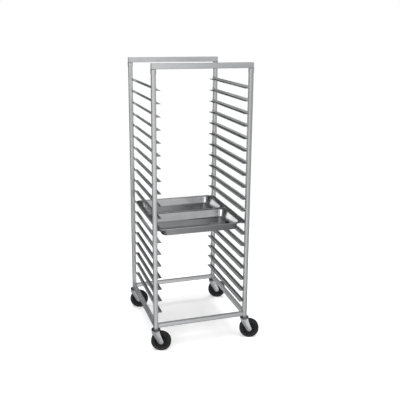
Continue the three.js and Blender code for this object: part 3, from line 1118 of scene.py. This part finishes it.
@dataclass
class Caster:
    """One swivel caster: fork, raceway, king bolt and axle on the fork, and the wheel."""

    corner: str
    finishes: Finishes
    leg_inside: float = 20 * MM
    leg_thickness: float = 3 * MM
    crown_top: float = 133 * MM
    crown_thickness: float = 4 * MM
    back: float = 24 * MM
    front: float = 26 * MM
    shoulder_drop: float = 10 * MM
    end_radius: float = 16 * MM
    axle_radius: float = 5 * MM
    tyre_inside: float = 46 * MM
    rib_count: int = 12
    axis_gap: float = 0.01 * MM

    def __post_init__(self) -> None:
        """Reads where the swivel and the axle are."""
        joints = {joint["name"]: joint for joint in frame["joints"]}
        swivel = Vector(joints[f"swivel_{self.corner}"]["pos_m"])
        axle = Vector(joints[f"roll_{self.corner}"]["pos_m"])
        forward = Vector((axle.x - swivel.x, axle.y - swivel.y, 0))
        self.trail = forward.length
        self.axle_height = axle.z
        forward.normalize()
        side = Vector((0, 0, 1)).cross(forward)
        columns = (forward, side, Vector((0, 0, 1)), Vector((swivel.x, swivel.y, 0)))
        rows = [[column[row] for column in columns] for row in range(3)]
        self.place = Matrix((*rows, (0, 0, 0, 1)))
        self.at_axle = self.place @ Matrix.Translation((self.trail, 0, self.axle_height))
        low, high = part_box(f"caster_wheel_{self.corner}")
        self.wheel_radius = (high.z - low.z) / 2
        self.fork_body = f"fork_{self.corner}"
        self.wheel_body = f"wheel_{self.corner}"

    def leg_outline(self, inset: float = 0.0) -> Profile:
        """One leg's outline (x along the trail, z up), drawn in by inset."""
        top = self.crown_top - 2 * MM - inset
        shoulder = self.crown_top - self.shoulder_drop + 0.4 * inset
        radius = self.end_radius - inset
        back, front = -self.back + 1.3 * inset, self.front - 1.3 * inset
        drop = self.axle_height

        def touch(x: float, side: int) -> float:
            """Angle, in degrees, at which a line from the shoulder touches the round end."""
            across, up = x - self.trail, shoulder - drop
            away = math.hypot(across, up)
            return math.degrees(math.atan2(up, across) + side * math.acos(radius / away))

        start, end = touch(back, 1), touch(front, -1) + 360
        end_arc = arc((self.trail, drop), radius, start, end, 14)
        return [(back, top), (back, shoulder), *end_arc, (front, shoulder), (front, top)]

    def leg(self, sign: int) -> list[bmesh.types.BMesh]:
        """One leg with the flat boss pressed out along its middle."""
        inner, outer = self.leg_inside, self.leg_inside + self.leg_thickness
        shapes = []
        for outline, near, far, soft in (
            (self.leg_outline(), inner, outer, 0.7 * MM),
            (self.boss_outline(), outer - 0.6 * MM, outer + 1.1 * MM, 0.8 * MM),
        ):
            low, high = sorted((sign * near, sign * far))
            shapes.append(plate(outline, low, high, soft))
        return shapes

    def boss_outline(self) -> Profile:
        """The boss on a leg: a slot shape from under the crown to the axle."""
        wide, narrow = 12.5 * MM, 9.5 * MM
        upper = (1 * MM + 0.1 * self.trail, self.crown_top - 22 * MM)
        lower = (self.trail, self.axle_height)
        lean = math.degrees(math.atan2(upper[1] - lower[1], upper[0] - lower[0]))
        return [
            *arc(upper, wide, lean - 90, lean + 90, 9),
            *arc(lower, narrow, lean + 90, lean + 270, 9),
        ]

    def crown(self) -> bmesh.types.BMesh:
        """The fork's flat top with rolled shoulders."""
        half = self.leg_inside + self.leg_thickness - 0.05 * MM
        roll = 3.2 * MM
        base = self.crown_top - self.crown_thickness
        section = [
            *arc((half - roll, self.crown_top - roll), roll, 0, 90, 6),
            *arc((-half + roll, self.crown_top - roll), roll, 90, 180, 6),
            (-half, base),
            (half, base),
        ]
        soft = 0.8 * MM
        stations = [(-self.back, soft), (-self.back + soft, 0), (self.front - soft, 0), (self.front, soft)]
        rings = []
        for x, inset in stations:
            shrink = 1 - inset / half
            middle = self.crown_top - self.crown_thickness / 2
            flat = 1 - inset / self.crown_thickness * 2
            rings.append([Vector((x, y * shrink, middle + (z - middle) * flat)) for y, z in section])
        return loft(rings)

    def fork(self) -> None:
        """The pressed fork."""
        shape = join([self.crown(), *self.leg(1), *self.leg(-1)])
        mesh = to_mesh("caster_fork", moved(shape, self.place), 30)
        node = f"caster_fork_{self.corner}"
        name = f"pressed_fork_{self.corner}"
        add_piece(name, mesh, self.finishes.bright_zinc, self.fork_body, [node])

    def raceway(self) -> None:
        """The rolled lower ring of the ball race, on the crown."""
        top, radius = self.crown_top + 0.3 * MM, 26.6 * MM
        low = self.crown_top - 5 * MM
        profile = [
            (7 * MM, top - 1 * MM),
            (22 * MM, top - 1 * MM),
            (23.5 * MM, top),
            *arc((radius - 1.5 * MM, top - 1.5 * MM), 1.5 * MM, 90, 0, 4),
            (radius, low + 1 * MM),
            (radius - 1 * MM, low),
            (radius - 2.2 * MM, low),
            (radius - 2.2 * MM, self.crown_top - 1.5 * MM),
            (7 * MM, self.crown_top - 1.5 * MM),
        ]
        shape = moved(lathe(profile, 72, upright=True), self.place)
        mesh = to_mesh("raceway_ring", shape)
        name = f"raceway_ring_{self.corner}"
        # Its darker zinc is painted shade.
        add_piece(name, mesh, self.finishes.dark_zinc, self.fork_body)

    def king_bolt(self) -> None:
        """The stem that turns in the upright's foot, with its head under the crown."""
        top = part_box(f"caster_fork_{self.corner}")[1].z
        under = self.crown_top - self.crown_thickness
        stem, soft = 6 * MM, 0.8 * MM
        profile = [
            (self.axis_gap, under - 1 * MM),
            (stem, under - 1 * MM),
            (stem, top - soft),
            (stem - soft, top),
            (self.axis_gap, top),
        ]
        head = hexagon(17 * MM, 0, 5.5 * MM)
        moved(head, Matrix.Translation((0, 0, under)) @ Matrix.Rotation(-math.pi / 2, 4, "X"))
        shape = moved(join([lathe(profile, 40, upright=True), head]), self.place)
        mesh = to_mesh("king_bolt", shape, 30)
        name = f"king_bolt_{self.corner}"
        add_piece(name, mesh, self.finishes.bright_zinc, self.fork_body)

    def axle(self) -> None:
        """The axle bolt, its nut and their washers."""
        seat = self.leg_inside + self.leg_thickness + 1.0 * MM
        washer, height = 0.9 * MM, 4 * MM
        shaft = self.axle_radius
        reach = seat + washer + 0.6 * height
        end = 0.5 * MM
        bolt = [
            (self.axis_gap, -reach),
            (shaft, -reach),
            (shaft, reach - end),
            (shaft - end, reach),
            (self.axis_gap, reach),
        ]
        hole, outer = 5.3 * MM, 8.4 * MM
        ring = [(hole, 0), (outer, 0), (outer, washer * 0.8), (outer - 0.2 * MM, washer), (hole, washer)]
        shapes = [lathe(bolt, 32)]
        for sign in (-1, 1):
            low_face, high_face = seat + washer, seat + washer + height - (0 if sign > 0 else 0.8 * MM)
            head = hexagon(14.5 * MM, low_face, high_face)
            disc = moved(lathe(ring, 40), Matrix.Translation((0, seat, 0)))
            for part in (head, disc):
                if sign < 0:
                    moved(part, Matrix.Rotation(math.pi, 4, "X"))
                shapes.append(part)
        mesh = to_mesh("axle_bolt", moved(join(shapes), self.at_axle), 30)
        name = f"axle_bolt_{self.corner}"
        add_piece(name, mesh, self.finishes.bright_zinc, self.fork_body)

    def tyre(self) -> None:
        """The crowned rubber tyre with its moulded shoulder steps."""
        radius, half = self.wheel_radius, 16 * MM
        side = [
            (self.tyre_inside, half - 3.4 * MM),
            (self.tyre_inside + 1.2 * MM, half - 2.2 * MM),
            (self.tyre_inside + 3.4 * MM, half - 1.6 * MM),
            (self.tyre_inside + 5.2 * MM, half - 0.5 * MM),
            (self.tyre_inside + 7.4 * MM, half),
        ]
        shoulder = arc((radius - 5.4 * MM, half - 5 * MM), 5 * MM, 88, 12, 7)
        crown = [(radius - 0.12 * MM, half * 0.5), (radius, half * 0.2)]
        upper = side + shoulder + crown
        profile = upper + [(radius_at, -height) for radius_at, height in reversed(upper)]
        shape = moved(lathe(profile, 96), self.at_axle)
        mesh = to_mesh("rubber_tyre", shape, 30)
        node = f"caster_wheel_{self.corner}"
        name = f"rubber_tyre_{self.corner}"
        add_piece(name, mesh, self.finishes.tyre, self.wheel_body, [node])

    def core(self) -> None:
        """The nylon core: hub, web and rim."""
        rim, hub, web = self.tyre_inside + 0.05 * MM, 13.5 * MM, 3.4 * MM
        half = [
            (8.2 * MM, 17 * MM),
            (hub - 0.8 * MM, 17 * MM),
            (hub, 16.2 * MM),
            (hub + 1.6 * MM, web + 2.4 * MM),
            (hub + 4.2 * MM, web),
            (rim - 6.4 * MM, web),
            (rim - 4.4 * MM, web + 1.6 * MM),
            (rim - 3.6 * MM, 12.4 * MM),
            (rim - 2.8 * MM, 13.2 * MM),
            (rim, 13.2 * MM),
        ]
        profile = half + [(radius, -y) for radius, y in reversed(half)]
        mesh = to_mesh("wheel_core", moved(lathe(profile, 96), self.at_axle), 30)
        name = f"wheel_core_{self.corner}"
        node = f"caster_wheel_{self.corner}"
        add_piece(name, mesh, self.finishes.core, self.wheel_body, [node])

    def ribs(self, tree: bpy.types.NodeTree) -> None:
        """Ribs that brace the core's web on both faces."""
        inner, outer, thick = 13.2 * MM, self.tyre_inside - 3.4 * MM, 1.1 * MM
        outline = [(-14.2 * MM, inner), (14.2 * MM, inner), (11.6 * MM, outer), (-11.6 * MM, outer)]
        shape = loft([[Vector((x, y, z)) for y, z in outline] for x in (-thick, thick)])
        rim = [edge for edge in shape.edges if edge.calc_face_angle() > 0.9]
        bmesh.ops.bevel(shape, geom=rim, offset=0.5 * MM, segments=2, affect="EDGES")
        values = {"Count": self.rib_count, "Material": self.finishes.core}
        mesh = grow(to_mesh("rib", shape), tree, values)
        mesh.transform(self.at_axle)
        name = f"wheel_ribs_{self.corner}"
        add_piece(name, mesh, self.finishes.core, self.wheel_body)

    def hub(self) -> None:
        """The steel hub tube with a pressed dust cover on each side."""
        bore, outer, half = self.axle_radius + 0.1 * MM, 8.25 * MM, 18.5 * MM
        tube_profile = [(bore, -half), (outer - 1 * MM, -half), (outer, -half + 1 * MM)]
        tube_profile += [(radius, -y) for radius, y in reversed(tube_profile)]
        cover = [
            (outer - 0.1 * MM, 17.1 * MM),
            (12.4 * MM, 17.1 * MM),
            (12.8 * MM, 17.5 * MM),
            (11.8 * MM, 18.1 * MM),
            (outer - 0.1 * MM, 18.3 * MM),
        ]
        covers = [moved(lathe(cover, 48), Matrix.Rotation(turn, 4, "X")) for turn in (0, math.pi)]
        shape = moved(join([lathe(tube_profile, 48), *covers]), self.at_axle)
        mesh = to_mesh("hub_sleeve", shape, 30)
        name = f"hub_sleeve_{self.corner}"
        # Its darker zinc is painted shade.
        add_piece(name, mesh, self.finishes.dark_zinc, self.wheel_body)

    def build(self, rib_ring: bpy.types.NodeTree) -> None:
        """Makes the caster."""
        self.fork()
        self.raceway()
        self.king_bolt()
        self.axle()
        self.tyre()
        self.core()
        self.ribs(rib_ring)
        self.hub()


@dataclass
class Pan:
    """A shallow pressed pan with a flat rim turned down at its edge."""

    node: str
    finish: bpy.types.Material
    sheet: float = 1 * MM
    rim: float = 15 * MM
    lip: float = 4 * MM
    rim_corner: float = 22 * MM
    body_corner: float = 45 * MM
    taper: float = 11 * MM
    edge_roll: float = 1.8 * MM
    brow: float = 3.5 * MM
    floor_roll: float = 9 * MM
    panel_rise: float = 0.7 * MM
    corner_steps: int = 14

    def section(self, depth: float) -> list[tuple[float, float]]:
        """The upper skin from the lip to the floor: (inset from the rim's edge, height)."""
        body = self.rim + self.sheet
        lean = math.degrees(math.atan2(self.taper, depth - self.lip))
        floor = -depth + self.sheet
        brow_centre = (body - self.brow, -self.brow)
        brow = arc(brow_centre, self.brow, 90, lean, 5)
        roll = self.floor_roll
        foot = body + self.taper
        floor_centre = (foot + roll * math.cos(math.radians(lean)) - 1 * MM, floor + roll)
        bottom = arc(floor_centre, roll, 180 + lean, 270, 7)
        edge = arc((self.edge_roll, -self.edge_roll), self.edge_roll, 180, 90, 4)
        inner = floor_centre[0]
        panel = [
            (inner + 12 * MM, floor),
            (inner + 15 * MM, floor + 0.25 * self.panel_rise),
            (inner + 19 * MM, floor + self.panel_rise),
            (inner + 50 * MM, floor + self.panel_rise),
        ]
        return [(0, -self.lip), *edge, *brow, *bottom, *panel]

    def corner_at(self, inset: float) -> float:
        """Corner radius of the pan's outline at an inset from its edge."""
        body = self.rim + self.sheet
        if inset <= self.edge_roll:
            return self.rim_corner - inset
        if inset < body:
            share = (inset - self.edge_roll) / (body - self.edge_roll)
            outer = self.rim_corner - self.edge_roll
            return outer + (self.body_corner - self.sheet - outer) * share
        return max(self.body_corner - self.sheet - (inset - body), 9 * MM)

    def build(self) -> None:
        """Makes the pan."""
        low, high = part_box(self.node)
        centre, half = (low + high) / 2, (high - low) / 2
        rings = []
        for inset, height in self.section(high.z - low.z):
            corner = self.corner_at(inset)
            ring = rounded_ring(half.x - inset, half.y - inset, corner, high.z + height, self.corner_steps)
            rings.append([Vector((centre.x + p.x, centre.y + p.y, p.z)) for p in ring])
        shape = loft(rings, caps=False)
        shape.verts.ensure_lookup_table()
        floor = shape.faces.new(shape.verts[-len(rings[-1]) :])
        bmesh.ops.recalc_face_normals(shape, faces=shape.faces)
        if floor.normal.z < 0:
            bmesh.ops.reverse_faces(shape, faces=shape.faces)
        mesh = to_mesh("pan_skin", shape, 60)
        name, body = f"{self.node}_pressing", f"{self.node}_body"
        piece = add_piece(name, mesh, self.finish, body, [self.node])
        wall = piece.modifiers.new("sheet", "SOLIDIFY")
        wall.thickness = self.sheet
        wall.offset = -1
        wall.use_even_offset = True
        wall.use_quality_normals = True


# ---------------------------------------------------------------------------------------------
# Studio
# ---------------------------------------------------------------------------------------------


@dataclass
class Studio:
    """Camera, lights, sky and floor."""

    eye: Vector
    heading: float = 0.3113
    pitch: float = 0.2514
    roll: float = 0.0084
    lens: float = 55.74
    lens_shift: float = -0.044
    # The floor is whole out to floor_whole from the middle, and gone from floor_gone.
    floor_half: float = 3
    floor_whole: float = 0.9
    floor_gone: float = 2.4
    floor_glow: float = 0.38
    # Grey level of the walls in front and behind, first against the direction's X, then its Z.
    front_across: Stops = (
        (-1, 0.3),
        (-0.4, 0.5),
        (-0.1, 0.95),
        (0.2, 1.0),
        (0.28, 0.75),
        (0.4, 0.32),
        (1, 0.2),
    )
    front_up: Stops = ((-1, 0.5), (-0.6, 0.5), (-0.47, 1.0), (0.5, 1.0), (1, 0.8))
    back_across: Stops = (
        (-1, 0.2),
        (-0.6, 0.35),
        (-0.45, 0.7),
        (-0.35, 0.95),
        (-0.3, 0.02),
        (0.0, 0.0),
        (0.1, 0.9),
        (0.4, 0.75),
        (0.5, 0.42),
        (1, 0.3),
    )
    back_up: Stops = (
        (-1, 1.0),
        (0.02, 1.0),
        (0.09, 0.35),
        (0.17, 0.02),
        (0.33, 0.02),
        (0.39, 0.5),
        (1, 0.7),
    )

    def camera(self) -> None:
        """Sets the camera in front of the rack and to its left, a little above its top."""
        data = bpy.data.cameras.new("camera")
        data.sensor_width = 36
        data.lens = self.lens
        data.shift_y = self.lens_shift
        camera = bpy.data.objects.new("camera", data)
        bpy.context.scene.collection.objects.link(camera)
        ahead = Vector(
            (
                math.sin(self.heading) * math.cos(self.pitch),
                math.cos(self.heading) * math.cos(self.pitch),
                -math.sin(self.pitch),
            )
        )
        right = Vector((math.cos(self.heading), -math.sin(self.heading), 0))
        up = right.cross(ahead)
        turned_right = math.cos(self.roll) * right + math.sin(self.roll) * up
        turned_up = -math.sin(self.roll) * right + math.cos(self.roll) * up
        columns = (turned_right, turned_up, -ahead, self.eye)
        rows = [[column[row] for column in columns] for row in range(3)]
        camera.matrix_world = Matrix((*rows, (0, 0, 0, 1)))
        bpy.context.scene.camera = camera

    def light(
        self, name: str, place: Vector, size: tuple[float, float], power: float, mirrored: bool
    ) -> None:
        """Adds a rectangular soft light that faces the rack's middle.

        Args:
            name: The light's name.
            place: Where it stands.
            size: Its width and height.
            power: Its power in watts.
            mirrored: True if metal surfaces show it.
        """
        aim = Vector((0, 0, 0.9))
        data = bpy.data.lights.new(name, "AREA")
        data.shape = "RECTANGLE"
        data.size, data.size_y = size
        data.energy = power
        lamp = bpy.data.objects.new(name, data)
        bpy.context.scene.collection.objects.link(lamp)
        lamp.location = place
        lamp.visible_glossy = mirrored
        lamp.rotation_mode = "QUATERNION"
        lamp.rotation_quaternion = (aim - place).to_track_quat("-Z", "Y")

    def ramp(self, wiring: Wiring, value: object, stops: Stops) -> bpy.types.NodeSocket:
        """A grey level that follows stops.

        Args:
            wiring: The tree it is added to.
            value: A value from -1 to 1.
            stops: Pairs of value and grey level, rising in value.

        Returns:
            The level's socket.
        """
        node = wiring.node("ShaderNodeValToRGB", {0: wiring.span(value, -1.0, 1.0, 0.0, 1.0)})
        elements = node.color_ramp.elements
        for _ in stops[2:]:
            elements.new(0.5)
        for element, (place, level) in zip(elements, stops):
            element.position = (place + 1) / 2
            element.color = (level, level, level, 1)
        return node.outputs[0]

    def sky(self) -> None:
        """White where it is seen directly; elsewhere the bright walls and dark gaps of a studio."""
        world = bpy.data.worlds.new("studio")
        bpy.context.scene.world = world
        world.use_nodes = True
        wiring = Wiring(world.node_tree)
        direction = wiring.node("ShaderNodeTexCoord").outputs["Generated"]
        across, along, up = wiring.node("ShaderNodeSeparateXYZ", {0: direction}).outputs
        shades = []
        for level, shade in ((self.front_across, self.front_up), (self.back_across, self.back_up)):
            values = {0: self.ramp(wiring, across, level), 1: self.ramp(wiring, up, shade)}
            shades.append(wiring.node("ShaderNodeVectorMath", values, operation="MULTIPLY").outputs[0])
        walls = wiring.blend(wiring.span(along, -0.15, 0.15, 0.0, 1.0), *shades)
        seen = wiring.node("ShaderNodeLightPath").outputs["Is Camera Ray"]
        background = next(n for n in world.node_tree.nodes if n.type == "BACKGROUND")
        colour = wiring.blend(seen, walls, rgba((1.0, 1.0, 1.0)))
        world.node_tree.links.new(colour, background.inputs["Color"])

    def floor(self) -> None:
        """A pale floor that fades out round the rack and that reflections pass through."""
        reach = self.floor_half
        mesh = bpy.data.meshes.new("floor")
        corners = [(-reach, -reach, 0), (reach, -reach, 0), (reach, reach, 0), (-reach, reach, 0)]
        mesh.from_pydata(corners, [], [(0, 1, 2, 3)])
        floor = bpy.data.objects.new("floor", mesh)
        bpy.context.scene.collection.objects.link(floor)
        constants = {"Roughness": 0.9, "Specular_IOR_Level": 0.0, "Emission_Strength": self.floor_glow}
        surface = Surface("pale_floor", 0.0, **constants)
        wiring = surface.wiring
        surface.shader.inputs["Emission Color"].default_value = rgba((1.0, 1.0, 1.0))
        cloud = wiring.noise(surface.place, 1.5, 3)
        surface.feed("Base Color", wiring.blend(cloud, rgba((0.9, 0.9, 0.9)), rgba((0.93, 0.93, 0.93))))
        mirrored = wiring.node("ShaderNodeLightPath").outputs["Is Glossy Ray"]
        away = wiring.node("ShaderNodeVectorMath", {0: surface.place}, operation="LENGTH")
        faded = wiring.span(away.outputs["Value"], self.floor_whole, self.floor_gone, 0.0, 1.0)
        clear = wiring.node("ShaderNodeBsdfTransparent").outputs[0]
        values = {0: wiring.math("MAXIMUM", mirrored, faded), 1: surface.shader.outputs[0], 2: clear}
        mix = wiring.node("ShaderNodeMixShader", values).outputs[0]
        output = next(n for n in surface.tree.nodes if n.type == "OUTPUT_MATERIAL")
        surface.tree.links.new(mix, output.inputs["Surface"])
        mesh.materials.append(surface.material)

    def build(self) -> None:
        """Sets up the whole studio."""
        self.camera()
        self.light("overhead", Vector((0, -0.5, 5.5)), (6, 6), 330, mirrored=False)
        self.light("front_left", Vector((-3.6, -4.6, 3.4)), (2.5, 2.5), 60, mirrored=True)
        self.light("front_right", Vector((4.2, -3.8, 3.0)), (2, 2.5), 20, mirrored=True)
        self.sky()
        self.floor()
        bpy.context.scene.view_settings.view_transform = "Standard"


def main() -> None:
    """Builds the rack and its studio."""
    logging.basicConfig(level=logging.INFO, format="%(name)s: %(message)s")
    finishes = Finishes.make()
    tubes = TubeFrame(finishes)
    tubes.build()
    runners = RunnerStacks(finishes)
    runners.build()
    Welds(finishes, tubes, runners).build()
    rib_ring = ring_tree()
    for corner in CORNERS:
        Caster(corner, finishes).build(rib_ring)
    for node in ("pan_front", "pan_rear"):
        Pan(node, finishes.pan).build()
    Studio(eye=Vector((-1.135, -3.695, 1.9665))).build()


if __name__ == "__main__":
    main()
